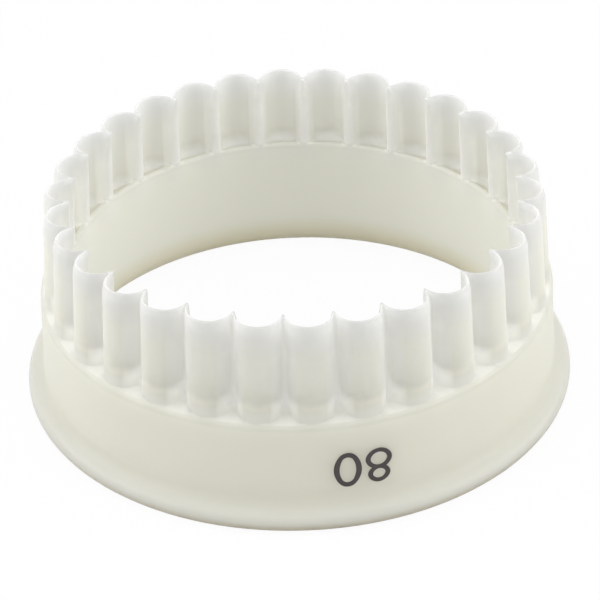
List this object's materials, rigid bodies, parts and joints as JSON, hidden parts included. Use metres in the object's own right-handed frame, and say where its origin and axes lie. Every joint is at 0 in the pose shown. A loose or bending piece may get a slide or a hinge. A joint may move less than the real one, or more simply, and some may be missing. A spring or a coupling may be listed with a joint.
{
  "type": "fluted pastry cutter",
  "caption": "Round pastry cutter: a one-piece moulded plastic ring with a thin fluted cutting edge on one side and a smooth rolled grip rim on the other, for cutting discs of dough.",
  "frame": {"origin": "centre of the rim face that the cutter stands on, on the ring's axis", "axes": "+Z along the ring's axis, from the rim face to the cutting edge; -Y is the front, where the size number is printed"},
  "size_m": [0.0902, 0.0902, 0.035],
  "materials": {
    "moulded_nylon": "satin, milky and slightly translucent",
    "print_ink": "matt pad print"
  },
  "bodies": {
    "root": {"cutter_ring": "moulded_nylon", "size_digit_eight": "print_ink", "size_digit_zero": "print_ink"}
  },
  "joints": []
}
